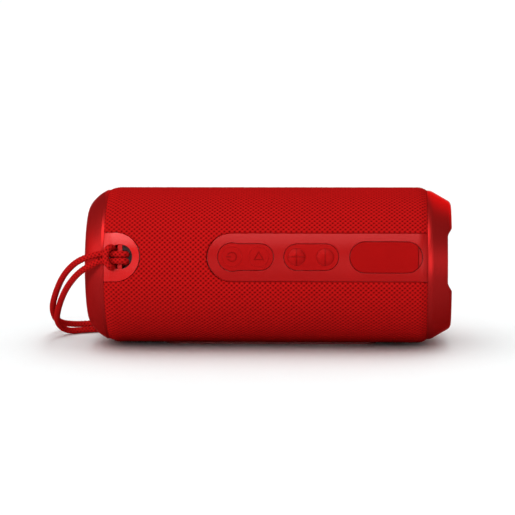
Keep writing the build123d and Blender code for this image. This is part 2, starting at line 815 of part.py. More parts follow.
for driver_name, x in (("left", -driver_x), ("right", driver_x)):
    with BuildPart() as driver_gasket:
        with BuildSketch(rear.offset(seat_depth)):
            with Locations((x, 0)):
                Circle(flange_radius - 0.1)
                Circle(18.6, mode=Mode.SUBTRACT)
                with PolarLocations(seat_screw_circle, 4, start_angle=45):
                    Circle(1.2, mode=Mode.SUBTRACT)
        extrude(amount=0.5)
    driver_gasket.part.label = f"{driver_name}_driver_gasket"
    export_step(driver_gasket.part, f"parts/{driver_name}_driver_gasket.step")

    with BuildPart() as driver_basket:
        with BuildSketch(driver_profile(x)):
            with BuildLine():
                Polyline(
                    (flange_radius, flange_low),
                    (flange_radius, flange_high),
                    (17.5, flange_high),
                    (16.8, flange_low),
                    (11.6, 18.0),
                    (5.7, 18.0),
                    (5.7, 17.0),
                    (12.4, 17.0),
                    (17.7, flange_low),
                    close=True,
                )
            make_face()
        revolve(axis=driver_axis(x))
        # Four windows behind the cone, and the screw holes
        with BuildSketch(rear.offset(19.5)):
            with Locations((x, 0)):
                with PolarLocations(14.0, 4, start_angle=0):
                    Rectangle(7.0, 9.0)
        extrude(amount=4.5, mode=Mode.SUBTRACT)
        with BuildSketch(rear.offset(seat_depth)):
            with Locations((x, 0)):
                with PolarLocations(seat_screw_circle, 4, start_angle=45):
                    Circle(1.2)
        extrude(amount=5, mode=Mode.SUBTRACT)
    driver_basket.part.label = f"{driver_name}_driver_basket"
    export_step(driver_basket.part, f"parts/{driver_name}_driver_basket.step")

    with BuildPart() as driver_motor:
        with BuildSketch(rear.offset(10.0)):
            with Locations((x, 0)):
                Circle(12.0)
        extrude(amount=7.0)
        with BuildSketch(rear.offset(17.0)):
            with Locations((x, 0)):
                Circle(4.6)
        extrude(amount=5.0)
    driver_motor.part.label = f"{driver_name}_driver_motor"
    export_step(driver_motor.part, f"parts/{driver_name}_driver_motor.step")

    with BuildPart() as driver_surround:
        with BuildSketch(driver_profile(x)):
            with BuildLine():
                inner = cone_radius + 0.25
                outer = 17.6
                middle = (inner + outer) / 2
                outside = ThreePointArc(
                    (inner, flange_high),
                    (middle, flange_high + 1.8),
                    (outer, flange_high),
                )
                inside = ThreePointArc(
                    (inner + 0.5, flange_high),
                    (middle, flange_high + 1.3),
                    (outer - 0.5, flange_high),
                )
                Line(outside @ 0, inside @ 0)
                Line(outside @ 1, inside @ 1)
            make_face()
            with Locations((outer + 0.3, flange_high + 0.25)):
                Rectangle(1.0, 0.5)
        revolve(axis=driver_axis(x))
    driver_surround.part.label = f"{driver_name}_driver_surround"
    export_step(driver_surround.part, f"parts/{driver_name}_driver_surround.step")

    # Cone, dust cap and voice coil former move as one
    with BuildPart() as driver_cone:
        with BuildSketch(driver_profile(x)):
            with BuildLine():
                rim_line = Line((cone_radius, flange_high - 0.3), (cone_radius, flange_high + 0.3))
                slant = Line(rim_line @ 1, (5.6, 25.2))
                cap = TangentArc((0, 27.1), slant @ 1, tangent=(1, 0))
                Polyline(
                    cap @ 0,
                    (0, 26.5),
                    (2.8, 26.1),
                    (4.85, 24.8),
                    (4.85, 19.0),
                    (5.2, 19.0),
                    (5.2, 24.3),
                    rim_line @ 0,
                )
            make_face()
        revolve(axis=driver_axis(x))
    driver_cone.part.label = f"{driver_name}_driver_cone"
    export_step(driver_cone.part, f"parts/{driver_name}_driver_cone.step")

with BuildPart() as driver_screws:
    driver_places = [(-driver_x, 0), (driver_x, 0)]
    with BuildSketch(rear.offset(seat_depth - 3)):
        with Locations(*driver_places):
            with PolarLocations(seat_screw_circle, 4, start_angle=45):
                Circle(0.95)
    extrude(amount=flange_high - seat_depth + 3.1)
    with BuildSketch(rear.offset(flange_high)):
        with Locations(*driver_places):
            with PolarLocations(seat_screw_circle, 4, start_angle=45):
                Circle(1.8)
    extrude(amount=1.1)
driver_screws.part.label = "driver_screws"
export_step(driver_screws.part, "parts/driver_screws.step")

# ---- Chassis, battery and boards ----

cell_radius = 9.1
cell_length = 65.0
cell_height = 2.0
cell_spacing = 9.7
cell_plane = Plane(origin=centre - Vector(cell_length / 2, 0, 0), x_dir=panel_up, z_dir=(1, 0, 0))
standoff_places = [(sx * 48.0, sy * 17.0) for sx in (-1, 1) for sy in (-1, 1)]
board_low = 14.0
board_thickness = 1.6

with BuildPart() as chassis_frame:
    with BuildSketch(front.offset(-1)):
        RectangleRounded(124, 69.2, 3)
        RectangleRounded(75, 43, 2, mode=Mode.SUBTRACT)
        with Locations(*[(sx * 50, sy * 27) for sx in (-1, 1) for sy in (-1, 1)]):
            SlotOverall(16, 8, mode=Mode.SUBTRACT)
    extrude(amount=2)
chassis_frame.part.label = "chassis_frame"
export_step(chassis_frame.part, "parts/chassis_frame.step")

with BuildPart() as battery_holder:
    with BuildSketch(front.offset(-8.6)):
        RectangleRounded(72, 42, 1.5)
    extrude(amount=9.8)
    with BuildSketch(front.offset(1.1)):
        Rectangle(84, 12)
    extrude(amount=1.5)
    with BuildSketch(cell_plane.offset(-0.4)):
        with Locations((cell_spacing, cell_height), (-cell_spacing, cell_height)):
            Circle(cell_radius + 0.2)
    extrude(amount=cell_length + 0.8, mode=Mode.SUBTRACT)
battery_holder.part.label = "battery_holder"
export_step(battery_holder.part, "parts/battery_holder.step")

with BuildPart() as battery_cells:
    with BuildSketch(cell_plane):
        with Locations((cell_spacing, cell_height), (-cell_spacing, cell_height)):
            Circle(cell_radius)
    extrude(amount=cell_length)
battery_cells.part.label = "battery_cells"
export_step(battery_cells.part, "parts/battery_cells.step")

with BuildPart() as board_standoffs:
    with BuildSketch(front.offset(1)):
        with Locations(*standoff_places):
            RegularPolygon(2.6, 6)
            Circle(1.05, mode=Mode.SUBTRACT)
    extrude(amount=board_low - 1)
board_standoffs.part.label = "board_standoffs"
export_step(board_standoffs.part, "parts/board_standoffs.step")

with BuildPart() as main_board:
    with BuildSketch(front.offset(board_low)):
        RectangleRounded(108, 42, 2)
        with Locations(*standoff_places):
            Circle(1.3, mode=Mode.SUBTRACT)
    extrude(amount=board_thickness)
main_board.part.label = "main_board"
export_step(main_board.part, "parts/main_board.step")

# Amplifier, radio module, controller, charger, two inductors and two plugs: (x, y, length, width, height)
board_top = board_low + board_thickness
chips = (
    (-18.0, 4.0, 9.0, 9.0, 1.2),
    (-34.0, -3.0, 15.0, 12.0, 2.2),
    (0.0, -8.0, 7.0, 7.0, 1.0),
    (14.0, 9.0, 5.0, 5.0, 1.0),
    (-4.0, 10.0, 6.5, 6.5, 3.2),
    (24.0, -6.0, 6.5, 6.5, 3.2),
    (36.0, 8.0, 8.0, 5.0, 4.0),
    (-42.0, 12.0, 8.0, 5.0, 4.0),
)
with BuildPart() as board_parts:
    for chip_x, chip_y, length, width, height in chips:
        with BuildSketch(front.offset(board_top)):
            with Locations((chip_x, chip_y)):
                Rectangle(length, width)
        extrude(amount=height)
    # Two electrolytic capacitors
    with BuildSketch(front.offset(board_top)):
        with Locations((8.0, -15.0), (17.0, -15.0)):
            Circle(3.15)
    extrude(amount=7.0)
board_parts.part.label = "board_parts"
export_step(board_parts.part, "parts/board_parts.step")

with BuildPart() as board_screws:
    with BuildSketch(front.offset(board_top - 7)):
        with Locations(*standoff_places):
            Circle(1.0)
    extrude(amount=7.1)
    with BuildSketch(front.offset(board_top)):
        with Locations(*standoff_places):
            Circle(2.0)
    extrude(amount=1.2)
board_screws.part.label = "board_screws"
export_step(board_screws.part, "parts/board_screws.step")

key_places = [(power_key_x, 0), (play_key_x, 0), (volume_up_x, 0), (volume_down_x, 0)]

with BuildPart() as key_board:
    with BuildSketch(front.offset(key_board_top - 1.2)):
        with Locations(((key_post_x[0] + key_post_x[1]) / 2, 0)):
            RectangleRounded(key_post_x[1] - key_post_x[0] + 8, 12, 1.5)
    extrude(amount=1.2)
key_board.part.label = "key_board"
export_step(key_board.part, "parts/key_board.step")

with BuildPart() as key_switches:
    with BuildSketch(front.offset(key_board_top)):
        with Locations(*key_places):
            RectangleRounded(6.0, 6.0, 0.5)
    extrude(amount=3.0)
    with BuildSketch(front.offset(key_board_top + 3.0)):
        with Locations(*key_places):
            Circle(1.6)
    extrude(amount=stem_end - key_travel - 0.1 - key_board_top - 3.0)
key_switches.part.label = "key_switches"
export_step(key_switches.part, "parts/key_switches.step")

# ---- Rubber foot under the sleeve ----

foot_length = 110.0
foot_width = 12.0

with BuildPart() as foot_pad:
    with BuildSketch(Plane.XY):
        SlotOverall(foot_length, foot_width)
    extrude(amount=5)
    with BuildSketch(Plane(origin=centre - Vector(100, 0, 0), z_dir=(1, 0, 0))):
        Circle(sleeve_radius + 0.02)
    extrude(amount=200, mode=Mode.SUBTRACT)
foot_pad.part.label = "foot_pad"
export_step(foot_pad.part, "parts/foot_pad.step")
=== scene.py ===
import json
from math import asin, cos, pi, radians, sin

import bmesh
import bpy
import numpy as np
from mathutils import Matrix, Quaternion, Vector

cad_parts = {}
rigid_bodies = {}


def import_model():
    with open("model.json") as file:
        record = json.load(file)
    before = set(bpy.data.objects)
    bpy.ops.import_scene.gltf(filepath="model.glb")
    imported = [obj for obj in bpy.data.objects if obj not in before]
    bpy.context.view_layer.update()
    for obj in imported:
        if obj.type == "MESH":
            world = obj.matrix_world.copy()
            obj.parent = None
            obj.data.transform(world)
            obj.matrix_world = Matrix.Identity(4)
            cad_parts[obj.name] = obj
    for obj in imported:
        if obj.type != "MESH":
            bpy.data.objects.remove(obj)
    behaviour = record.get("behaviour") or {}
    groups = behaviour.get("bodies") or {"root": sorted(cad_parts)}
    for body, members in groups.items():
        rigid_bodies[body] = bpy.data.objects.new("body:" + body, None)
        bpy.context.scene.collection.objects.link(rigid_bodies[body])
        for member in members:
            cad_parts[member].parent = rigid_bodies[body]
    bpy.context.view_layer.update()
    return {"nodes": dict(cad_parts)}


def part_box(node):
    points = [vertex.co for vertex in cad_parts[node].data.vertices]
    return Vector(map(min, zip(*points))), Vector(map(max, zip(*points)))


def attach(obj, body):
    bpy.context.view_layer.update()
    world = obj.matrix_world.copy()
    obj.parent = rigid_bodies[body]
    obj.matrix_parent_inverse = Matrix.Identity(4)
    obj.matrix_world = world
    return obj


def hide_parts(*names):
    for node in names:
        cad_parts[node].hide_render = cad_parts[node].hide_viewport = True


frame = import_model()

# ---- Driving dimensions, in metres and radians ----

mm = 0.001
sleeve_low, sleeve_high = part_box("fabric_sleeve")
sleeve_radius = (sleeve_high.z - sleeve_low.z) / 2
axis_height = (sleeve_high.z + sleeve_low.z) / 2
panel_tilt = radians(15)
panel_round_x = -17.95 * mm
panel_half_width = 12.4 * mm
plate_round_x = -76.85 * mm
plate_half_width = 12.65 * mm
cord_diameter = 3.3 * mm


def panel_point(x, up, out):
    """A place given in millimetres: x along the body, up the panel, and out from the centre line."""
    y = up * sin(panel_tilt) - out * cos(panel_tilt)
    z = up * cos(panel_tilt) + out * sin(panel_tilt)
    return Vector((x * mm, y * mm, z * mm + axis_height))


# ---- Camera ----

camera_pitch = radians(9.6)
camera_roll = radians(-0.32)
camera_distance = 1350 * mm
camera_x = 56.3 * mm
aim_x = -6.6 * mm
aim_rise = 3.62 * mm
focal_length = 182.25

camera = bpy.data.objects.new("camera", bpy.data.cameras.new("camera"))
bpy.context.scene.collection.objects.link(camera)
camera.location = (
    camera_x,
    -camera_distance * cos(camera_pitch),
    axis_height + camera_distance * sin(camera_pitch),
)
aim = Vector((aim_x, aim_rise * sin(camera_pitch), axis_height + aim_rise * cos(camera_pitch)))
facing = (aim - camera.location).to_track_quat("-Z", "Y") @ Quaternion((0, 0, 1), camera_roll)
camera.rotation_euler = facing.to_euler()
camera.data.sensor_width = 36
camera.data.lens = focal_length
camera.data.clip_start = 0.05
camera.data.clip_end = 50
bpy.context.scene.camera = camera
bpy.context.scene.view_settings.view_transform = "Standard"


# ---- Woven relief, shared by the sleeve and the cords ----

# A thread's half width in lattice cells, and its height where it dips under as a share of a crest's
thread_half_width = 0.46
dipped_height = 0.62


def weave_relief(along, around):
    """Height of a plain weave that runs diagonally, from 0 in a gap to 1 on a crest.

    Both arguments count lattice cells. Gaps lie at whole cells and at cell centres.
    """
    first, second = along + around, along - around
    over = np.where(np.floor(second) % 2 < 1, 1, -1) * np.cos(pi * (first - 0.5))
    under = -np.where(np.floor(first) % 2 < 1, 1, -1) * np.cos(pi * (second - 0.5))
    bodies = []
    for wave, across in ((over, second % 1 - 0.5), (under, first % 1 - 0.5)):
        crown = np.sqrt(np.clip(1 - (across / thread_half_width) ** 2, 0, 1))
        bodies.append(crown * (dipped_height + (1 - dipped_height) * (0.5 + 0.5 * wave)))
    return np.maximum(*bodies)


def mesh_object(name, points, faces, uv):
    """A smooth mesh object from arrays, with the UV map "weave" given per point."""
    mesh = bpy.data.meshes.new(name)
    mesh.from_pydata(points.tolist(), [], faces.tolist())
    mesh.polygons.foreach_set("use_smooth", np.ones(len(mesh.polygons), bool))
    corners = np.zeros(len(mesh.loops), int)
    mesh.loops.foreach_get("vertex_index", corners)
    layer = mesh.uv_layers.new(name="weave")
    layer.data.foreach_set("uv", uv[corners].astype(np.float32).ravel())
    mesh.update()
    piece = bpy.data.objects.new(name, mesh)
    bpy.context.scene.collection.objects.link(piece)
    return piece


# ---- Cords: the free loop and the hitch that ties it to the plate's bar ----

# From the hitch round the free loop and back, in millimetres
floor_clearance = 0.05
floor_height = cord_diameter / 2 / mm + floor_clearance
cord_route = [
    (-84.2, -40.1, 52.6),
    (-93.4, -38.6, 50.6),
    (-103.6, -28.6, 41.2),
    (-110.6, -12.0, 27.6),
    (-115.2, 7.4, 15.2),
    (-114.4, 23.4, 5.4),
    (-106.6, 35.8, floor_height),
    (-92.0, 41.6, floor_height),
    (-73.0, 47.0, floor_height),
    (-58.4, 47.8, floor_height),
    (-49.2, 41.4, floor_height),
    (-48.0, 30.8, floor_height),
    (-55.8, 22.6, floor_height),
    (-69.0, 21.4, floor_height),
    (-85.6, 24.6, floor_height),
    (-99.4, 21.6, floor_height),
    (-108.6, 16.4, floor_height),
    (-113.0, 6.6, 8.6),
    (-109.2, -9.8, 20.8),
    (-102.6, -27.0, 34.0),
    (-93.0, -39.2, 45.2),
    (-84.2, -41.0, 49.3),
]

# One strand of the hitch as panel_point's x, up and out: in from the loop, over the bar, round
# under it, and up into the bight that crosses both strands. The other strand is its mirror image.
hitch_middle = -0.5
hitch_half = [
    (-84.2, 1.2, 41.85),
    (-81.6, 1.5, 42.1),
    (-78.4, 1.35, 41.2),
    (-75.2, 1.15, 41.4),
    (-71.6, 1.15, 41.1),
    (-70.9, 1.3, 37.6),
    (-72.6, 1.8, 34.9),
    (-75.8, 2.9, 34.7),
    (-77.7, 3.9, 36.8),
    (-78.2, 4.6, 40.8),
    (-79.2, 4.4, 44.6),
    (-80.9, 1.8, 45.6),
]
hitch_route = hitch_half + [(x, 2 * hitch_middle - up, out) for x, up, out in reversed(hitch_half)]

strand_cells = 4
braid_cell = 2.05 * mm
braid_depth = 0.42 * mm
crest_swell = 0.04 * mm
cell_samples = 8
route_resolution = 24


def smooth_line(route):
    """The points along the NURBS curve that a route's places control, in metres."""
    curve = bpy.data.curves.new("route", "CURVE")
    curve.dimensions = "3D"
    curve.resolution_u = route_resolution
    spline = curve.splines.new("NURBS")
    spline.points.add(len(route) - 1)
    for point, place in zip(spline.points, route):
        point.co = (*place, 1)
    spline.order_u = 3
    spline.use_endpoint_u = True
    holder = bpy.data.objects.new("route", curve)
    line = bpy.data.meshes.new_from_object(holder)
    points = np.array([vertex.co for vertex in line.vertices])
    bpy.data.objects.remove(holder)
    bpy.data.curves.remove(curve)
    bpy.data.meshes.remove(line)
    return points


def carried_sides(forward):
    """Sideways directions for the forward directions of a line, carried along it without twist."""
    side = np.zeros_like(forward)
    side[0] = np.cross(forward[0], (0, 0, 1))
    for i in range(1, len(forward)):
        side[i] = side[i - 1] - forward[i] * (side[i - 1] @ forward[i])
    return side / np.linalg.norm(side, axis=1)[:, None]


def braided_cord(name, line):
    """A closed tube with the relief of a round braid, whose rings follow a line of points."""
    gaps = np.linalg.norm(np.diff(line, axis=0), axis=1)
    reach = np.concatenate([[0], np.cumsum(gaps)])
    cells = round(reach[-1] / braid_cell)
    ring_count = cells * cell_samples + 1
    stations = np.linspace(0, reach[-1], ring_count)
    middle = np.stack([np.interp(stations, reach, line[:, i]) for i in range(3)], axis=1)
    forward = np.gradient(middle, axis=0)
    forward /= np.linalg.norm(forward, axis=1)[:, None]
    side = carried_sides(forward)
    lift = np.cross(forward, side)
    around_count = strand_cells * cell_samples
    turn = np.arange(around_count + 1) / around_count
    along_cells = np.repeat(np.linspace(0, cells, ring_count)[:, None], around_count + 1, axis=1)
    around_cells = np.repeat(turn[None, :] * strand_cells, ring_count, axis=0)
    relief = weave_relief(along_cells, around_cells)
    radius = cord_diameter / 2 + crest_swell - braid_depth * (1 - relief)
    spokes = (
        np.cos(2 * pi * turn)[None, :, None] * side[:, None, :]
        + np.sin(2 * pi * turn)[None, :, None] * lift[:, None, :]
    )
    points = middle[:, None, :] + radius[:, :, None] * spokes
    ring = around_count + 1
    starts = (np.arange(ring_count - 1)[:, None] * ring + np.arange(around_count)[None, :]).ravel()
    faces = np.stack([starts, starts + 1, starts + ring + 1, starts + ring], axis=1)
    uv = np.stack([along_cells, around_cells], axis=-1).reshape(-1, 2)
    piece = mesh_object(name, points.reshape(-1, 3), faces, uv)
    shape = bmesh.new()
    shape.from_mesh(piece.data)
    bmesh.ops.remove_doubles(shape, verts=shape.verts, dist=0.01 * mm)
    bmesh.ops.holes_fill(shape, edges=[edge for edge in shape.edges if edge.is_boundary])
    bmesh.ops.recalc_face_normals(shape, faces=shape.faces)
    shape.to_mesh(piece.data)
    shape.free()
    return piece


cord_line = smooth_line([[value * mm for value in place] for place in cord_route])
lanyard_loop = braided_cord("lanyard_loop", cord_line)
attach(lanyard_loop, "housing")
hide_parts("lanyard_cord")

hitch_line = smooth_line([panel_point(*place) for place in hitch_route])
hitch_braid = braided_cord("hitch_braid", hitch_line)
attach(hitch_braid, "housing")
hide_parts("lanyard_hitch")

# ---- Fabric sleeve ----

left_flat = -77.0 * mm
right_flat = 76.2 * mm
left_bend = 11.9 * mm
right_bend = 7.128 * mm
lattice_columns = 63
lattice_rows = 103
column_samples = 4
row_samples = 4
crest_height = 0.1 * mm
gap_depth = 0.62 * mm
height_variation = 0.16
cut_gap = 0.1 * mm
hem_width = 0.9 * mm
hem_depth = 0.5 * mm
turned_in = 1.7 * mm
left_length = left_bend * asin((left_flat - sleeve_low.x) / left_bend)
right_length = right_bend * asin((sleeve_high.x - right_flat) / right_bend)
flat_length = right_flat - left_flat
sleeve_length = left_length + flat_length + right_length


def sleeve_profile(reach):
    """The place along the centre line, the radius and the surface's lean, for shares of the length."""
    distance = reach * sleeve_length
    left_angle = np.clip((left_length - distance) / left_bend, 0, None)
    right_angle = np.clip((distance - left_length - flat_length) / right_bend, 0, None)
    flat = np.clip(distance - left_length, 0, flat_length)
    x = left_flat + flat - left_bend * np.sin(left_angle) + right_bend * np.sin(right_angle)
    left_drop = left_bend * (1 - np.cos(left_angle))
    right_drop = right_bend * (1 - np.cos(right_angle))
    return x, sleeve_radius - left_drop - right_drop, right_angle - left_angle


def cutout_distance(x, up):
    """Distance outside the nearer of the panel's and the lanyard plate's outlines, negative inside."""
    panel = np.hypot(np.minimum(x - panel_round_x, 0), up) - panel_half_width
    plate = np.hypot(np.maximum(x - plate_round_x, 0), up) - plate_half_width
    return np.minimum(panel, plate)


def close_uv_round_back(layer):
    """Shifts the last row's far corners in a UV layer, which belong to the next whole turn."""
    values = np.zeros(len(layer.data) * 2, np.float32)
    layer.data.foreach_get("uv", values)
    around = values.reshape(-1, 4, 2)[:, :, 1]
    half_turn = lattice_rows / 2
    wrapped = around.max(axis=1) - around.min(axis=1) > half_turn
    around[wrapped[:, None] & (around < half_turn)] += lattice_rows
    layer.data.foreach_set("uv", values)


def turn_in_edges(mesh):
    """Extrudes a sheet's open edges towards the body's centre line."""
    shape = bmesh.new()
    shape.from_mesh(mesh)
    rims = [edge for edge in shape.edges if edge.is_boundary]
    turned = bmesh.ops.extrude_edge_only(shape, edges=rims)["geom"]
    for vertex in [item for item in turned if isinstance(item, bmesh.types.BMVert)]:
        inward = Vector((0, -vertex.co.y, axis_height - vertex.co.z)).normalized()
        vertex.co += inward * turned_in
    bmesh.ops.recalc_face_normals(shape, faces=shape.faces)
    shape.to_mesh(mesh)
    shape.free()
    mesh.polygons.foreach_set("use_smooth", np.ones(len(mesh.polygons), bool))


def woven_sleeve():
    """The sleeve as one sheet of woven relief with its edges turned in."""
    columns = lattice_columns * column_samples
    rows = lattice_rows * row_samples
    along = np.repeat(np.arange(columns + 1)[:, None] / columns, rows, axis=1)
    around = np.repeat(np.arange(rows)[None, :] / rows, columns + 1, axis=0)
    x, radius, lean = sleeve_profile(along)
    angle = 2 * pi * around
    up = radius * np.sin(angle)
    on_panel_side = np.cos(angle) > 0
    far_away = 1.0
    edge = np.where(on_panel_side, cutout_distance(x, up), far_away)
    # Points near an outline move onto it, so that the cut edge is a clean curve
    step = 0.05 * mm
    slope_x = (cutout_distance(x + step, up) - cutout_distance(x - step, up)) / (2 * step)
    slope_up = (cutout_distance(x, up + step) - cutout_distance(x, up - step)) / (2 * step)
    spacing = 2 * pi * sleeve_radius / rows
    outside_reach, inside_reach = 0.3 * spacing, 1.6 * spacing
    pulled = edge < cut_gap + outside_reach
    shift = np.where(pulled, cut_gap - edge, 0)
    near = edge > -inside_reach
    x = np.where(near, x + shift * slope_x, x)
    up = np.where(near, up + shift * slope_up, up)
    angle = np.where(near & pulled, np.arcsin(np.clip(up / radius, -1, 1)), angle)
    relief = weave_relief(along * lattice_columns, around * lattice_rows)
    randoms = np.random.RandomState(11)
    relief = relief * (1 + height_variation * (randoms.rand(*relief.shape) - 0.5))
    hem = np.clip(1 - (edge - cut_gap) / hem_width, 0, 1) ** 2
    end_distance = np.minimum(along, 1 - along) * (sleeve_high.x - sleeve_low.x)
    end_hem = np.clip(1 - end_distance / hem_width, 0, 1)
    sink = gap_depth * (1 - relief) * (1 - end_hem) - crest_height + hem_depth * hem
    ring_radius = radius - sink * np.cos(lean)
    x = x - sink * np.sin(lean)
    # The panel's outward direction is angle 0
    out = ring_radius * np.cos(angle)
    rise = ring_radius * np.sin(angle)
    y = rise * sin(panel_tilt) - out * cos(panel_tilt)
    z = rise * cos(panel_tilt) + out * sin(panel_tilt) + axis_height
    points = np.stack([x, y, z], axis=-1).reshape(-1, 3)
    corner = np.arange((columns + 1) * rows).reshape(columns + 1, rows)
    following = np.roll(corner, -1, axis=1)
    faces = np.stack([corner[:-1], corner[1:], following[1:], following[:-1]], axis=-1).reshape(-1, 4)
    outside = (~pulled).reshape(-1)
    faces = faces[outside[faces].any(axis=1)]
    used = np.unique(faces)
    renumber = np.zeros(len(points), int)
    renumber[used] = np.arange(len(used))
    uv = np.stack([along * lattice_columns, around * lattice_rows], axis=-1).reshape(-1, 2)
    piece = mesh_object("woven_sleeve", points[used], renumber[faces], uv[used])
    close_uv_round_back(piece.data.uv_layers["weave"])
    turn_in_edges(piece.data)
    return piece


sleeve = woven_sleeve()
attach(sleeve, "housing")
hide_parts("fabric_sleeve")


# ---- Finishes ----


def give(tree, socket, value):
    """Links an output to a socket, or sets a plain value on it."""
    if isinstance(value, bpy.types.NodeSocket):
        tree.links.new(value, socket)
    elif value is not None:
        socket.default_value = value


def add_node(tree, kind, values, properties):
    """A node with its first inputs set or linked, in order. None leaves an input as it is."""
    made = tree.nodes.new(kind)
    for key, value in properties.items():
        setattr(made, key, value)
    for socket, value in zip(made.inputs, values):
        give(tree, socket, value)
    return made


class Finish:
    """A material and its node tree, with short calls for the nodes that the finishes share."""

    def __init__(self, name, **settings):
        self.material = bpy.data.materials.new(name)
        self.material.use_nodes = True
        self.tree = self.material.node_tree
        self.surface = self.tree.nodes["Principled BSDF"]
        for socket, value in settings.items():
            self.surface.inputs[socket.replace("_", " ")].default_value = value

    def node(self, kind, *values, **properties):
        return add_node(self.tree, kind, values, properties)

    def math(self, operation, *values):
        return self.node("ShaderNodeMath", *values, operation=operation).outputs[0]

    def noise(self, scale, detail=2.0, where=None):
        """Noise from 0 to 1 whose features are about 1 / scale metres across."""
        if where is None:
            where = self.node("ShaderNodeTexCoord").outputs["Object"]
        made = self.node("ShaderNodeTexNoise")
        give(self.tree, made.inputs["Vector"], where)
        made.inputs["Scale"].default_value = scale
        made.inputs["Detail"].default_value = detail
        return made.outputs[0]

    def blend(self, share, first, second):
        """One colour where the share is 0, another where it is 1."""
        made = self.node("ShaderNodeMix", share, data_type="RGBA")
        give(self.tree, made.inputs[6], first)
        give(self.tree, made.inputs[7], second)
        return made.outputs[2]

    def spread(self, value, low, high):
        """A value clamped to run from 0 to 1, stretched to run from low to high."""
        made = self.node("ShaderNodeMapRange", value)
        made.inputs["To Min"].default_value = low
        made.inputs["To Max"].default_value = high
        return made.outputs[0]

    def bump(self, height, depth, under=None):
        """A normal for a relief of the given depth in metres, over another normal where given."""
        made = self.node("ShaderNodeBump")
        made.inputs["Strength"].default_value = 1.0
        made.inputs["Distance"].default_value = depth
        give(self.tree, made.inputs["Height"], height)
        give(self.tree, made.inputs["Normal"], under)
        return made.outputs[0]

    def set(self, socket, value):
        give(self.tree, self.surface.inputs[socket], value)


def shade(colour, factor):
    """A colour made darker or lighter by a factor."""
    return tuple(min(channel * factor, 1) for channel in colour[:3]) + (1,)


def moulded(
    name, colour, roughness, grain=4200, grain_depth=0.012 * mm, edge=0.25 * mm, groove_shade_width=0, **settings
):
    """Moulded plastic or rubber: a fine etched grain, faint mottling, softened edges made lighter,
    partly worn and partly a painted highlight.

    When a width is given for them, the piece's own grooves of about that width get painted shade: darker
    where the occlusion node finds them shut in.
    """
    wear_and_highlight_rise, most_wear_and_highlight, worn_and_lit_edge_shade = 2.5, 0.2, 1.45
    dark_mottle, light_mottle = 0.93, 1.06
    painted_groove_shade = 0.2
    smoother, rougher = 0.04, 0.05
    finish = Finish(name, **settings)
    rounded = finish.node("ShaderNodeBevel", edge, samples=4).outputs[0]
    plain = finish.node("ShaderNodeNewGeometry").outputs["Normal"]
    along = finish.node("ShaderNodeVectorMath", rounded, plain, operation="DOT_PRODUCT").outputs["Value"]
    # Partly worn, partly a painted highlight: the colour turns lighter along the softened edges, where
    # the rounded normal parts from the plain one
    wear_and_edge_highlight = finish.math("MULTIPLY", finish.math("SUBTRACT", 1.0, along), wear_and_highlight_rise)
    wear_and_edge_highlight = finish.math("MULTIPLY", wear_and_edge_highlight, finish.noise(scale=700, detail=3))
    wear_and_edge_highlight = finish.math("MINIMUM", wear_and_edge_highlight, most_wear_and_highlight)
    mottling = finish.noise(scale=90, detail=3)
    mottled = finish.blend(mottling, shade(colour, dark_mottle), shade(colour, light_mottle))
    surface_colour = finish.blend(wear_and_edge_highlight, mottled, shade(colour, worn_and_lit_edge_shade))
    if groove_shade_width:
        # Painted shade: the piece's own grooves turn darker where the occlusion node finds them shut in
        occlusion = finish.node("ShaderNodeAmbientOcclusion", None, groove_shade_width, samples=12, only_local=True)
        groove_shade_share = finish.math("SUBTRACT", 1.0, occlusion.outputs["AO"])
        surface_colour = finish.blend(groove_shade_share, surface_colour, shade(colour, painted_groove_shade))
    finish.set("Base Color", surface_colour)
    polish = finish.noise(scale=1500, detail=3)
    finish.set("Roughness", finish.spread(polish, roughness - smoother, roughness + rougher))
    finish.set("Normal", finish.bump(finish.noise(scale=grain), grain_depth, rounded))
    return finish.material


